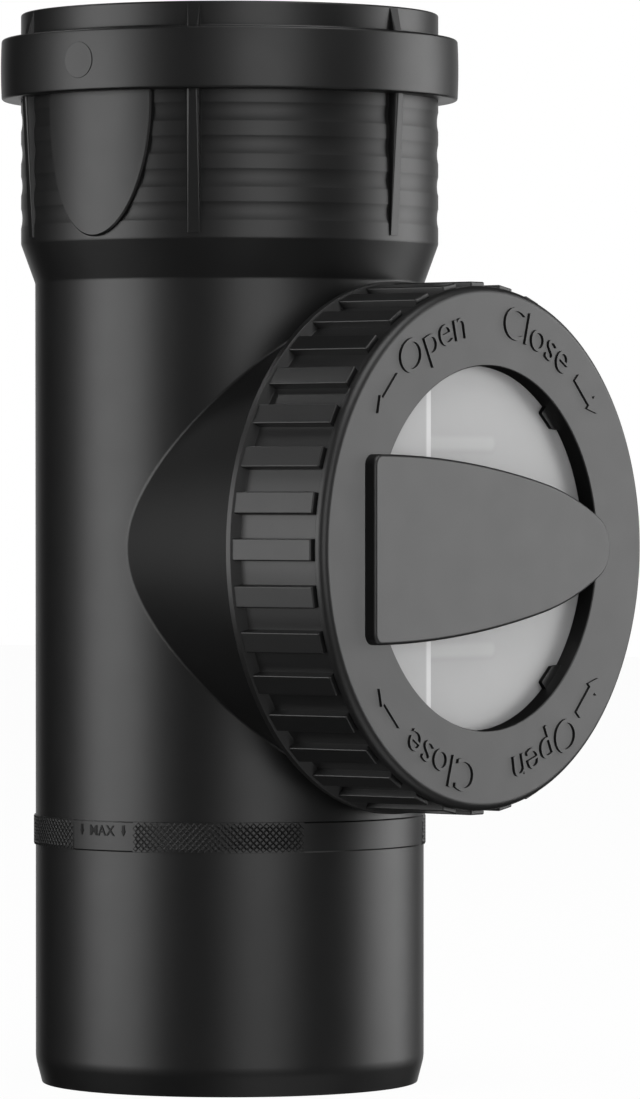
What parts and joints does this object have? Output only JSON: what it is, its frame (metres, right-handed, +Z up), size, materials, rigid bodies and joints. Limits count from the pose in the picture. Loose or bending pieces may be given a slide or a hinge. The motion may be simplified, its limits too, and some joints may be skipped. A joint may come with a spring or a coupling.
{
  "type": "pipe cleanout",
  "caption": "Upright push-fit waste pipe cleanout: socket on top, spigot below and a side branch closed by a screw cap with a grip bar and a translucent window.",
  "frame": {"origin": "middle of the spigot's end face, on the pipe axis", "axes": "+Z up the pipe towards the socket, -Y out of the branch through the screw cap, +X to the right of someone who faces the cap"},
  "size_m": [0.148, 0.1606, 0.302],
  "materials": {
    "body_plastic": "satin black moulded polypropylene",
    "cap_plastic": "satin black moulded polypropylene",
    "window_plastic": "translucent natural polypropylene",
    "seal_rubber": "matt black rubber"
  },
  "bodies": {
    "fitting": {"fitting_body": "body_plastic", "socket_seal": "seal_rubber"},
    "plug": {"window_plug": "window_plastic", "plug_seal": "seal_rubber"},
    "cap": {"cap_ring": "cap_plastic"}
  },
  "joints": [
    {"name": "plug_travel", "type": "slide", "parent": "fitting", "child": "plug", "axis": [0, -1, 0], "range_m": [0, 0.0256]},
    {"name": "cap_turn", "type": "hinge", "parent": "plug", "child": "cap", "pos_m": [0, -0.0765, 0.1515], "axis": [0, -1, 0], "range_deg": [0, 1530]}
  ],
  "couplings": [
    {"joint": "plug_travel", "follows": "cap_turn", "m_per_rad": 0.00095493}
  ]
}
